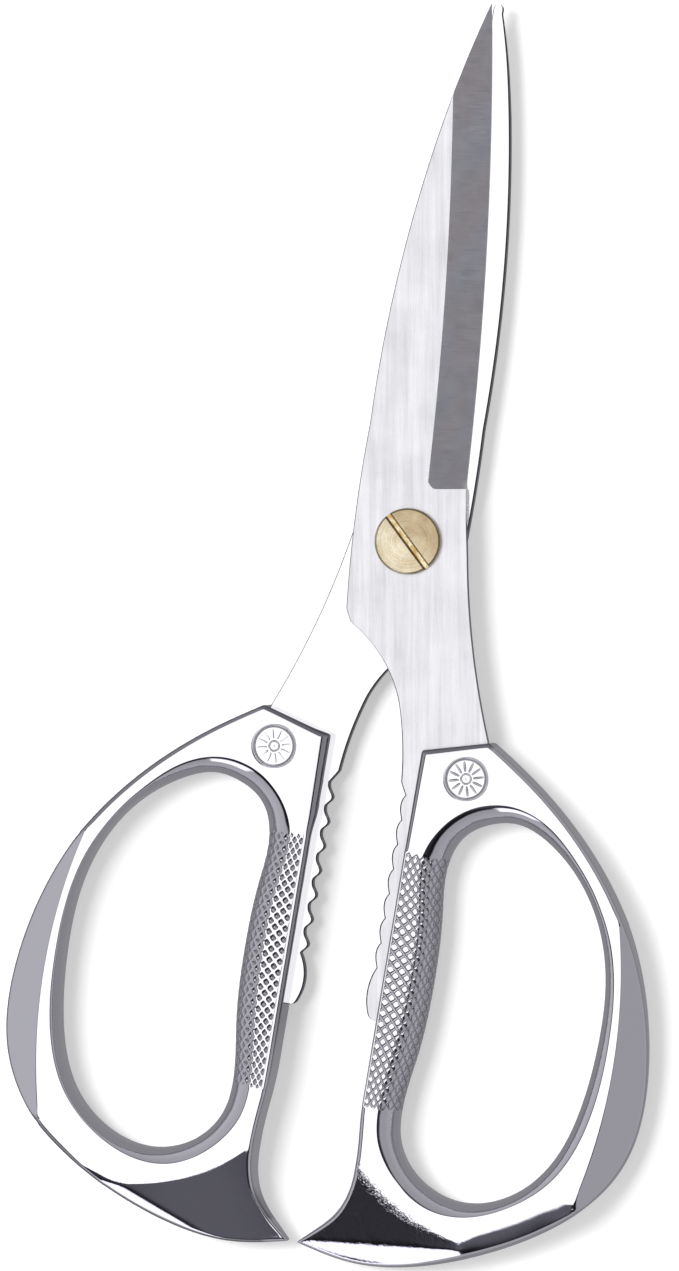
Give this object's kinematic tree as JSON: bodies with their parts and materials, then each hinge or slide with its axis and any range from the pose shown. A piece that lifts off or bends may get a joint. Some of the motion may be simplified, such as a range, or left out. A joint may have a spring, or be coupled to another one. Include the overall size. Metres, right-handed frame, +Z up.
{
  "type": "poultry shears",
  "caption": "Poultry shears with ground steel blades, cast chrome ring handles with cross-knurled grips, a scalloped nutcracker jaw and a slotted brass pivot screw.",
  "frame": {"origin": "centre of the footprint of the closed shears, at the level of the table they lie on", "axes": "+Y along the closed blades towards their tips, +Z up from the table, along the pivot screw towards its slotted head, +X across, towards the front half's handle"},
  "size_m": [0.1064, 0.207, 0.01],
  "materials": {
    "blade_steel": "ground and finely brushed",
    "handle_chrome": "bright chrome plate",
    "rivet_chrome": "bright chrome plate",
    "pivot_brass": "turned, unpolished",
    "washer_steel": "bright zinc plate"
  },
  "bodies": {
    "rear_half": {"rear_blade": "blade_steel", "left_handle": "handle_chrome", "left_rivet_post": "rivet_chrome", "left_rivet_cap": "rivet_chrome", "pivot_screw": "pivot_brass", "pivot_lock_washer": "washer_steel", "pivot_nut": "pivot_brass"},
    "front_half": {"front_blade": "blade_steel", "right_handle": "handle_chrome", "right_rivet_post": "rivet_chrome", "right_rivet_cap": "rivet_chrome"}
  },
  "joints": [
    {"name": "blade_pivot", "type": "hinge", "parent": "rear_half", "child": "front_half", "pos_m": [0, 0.01451, 0.005], "axis": [0, 0, 1], "range_deg": [-0.5, 130]}
  ]
}
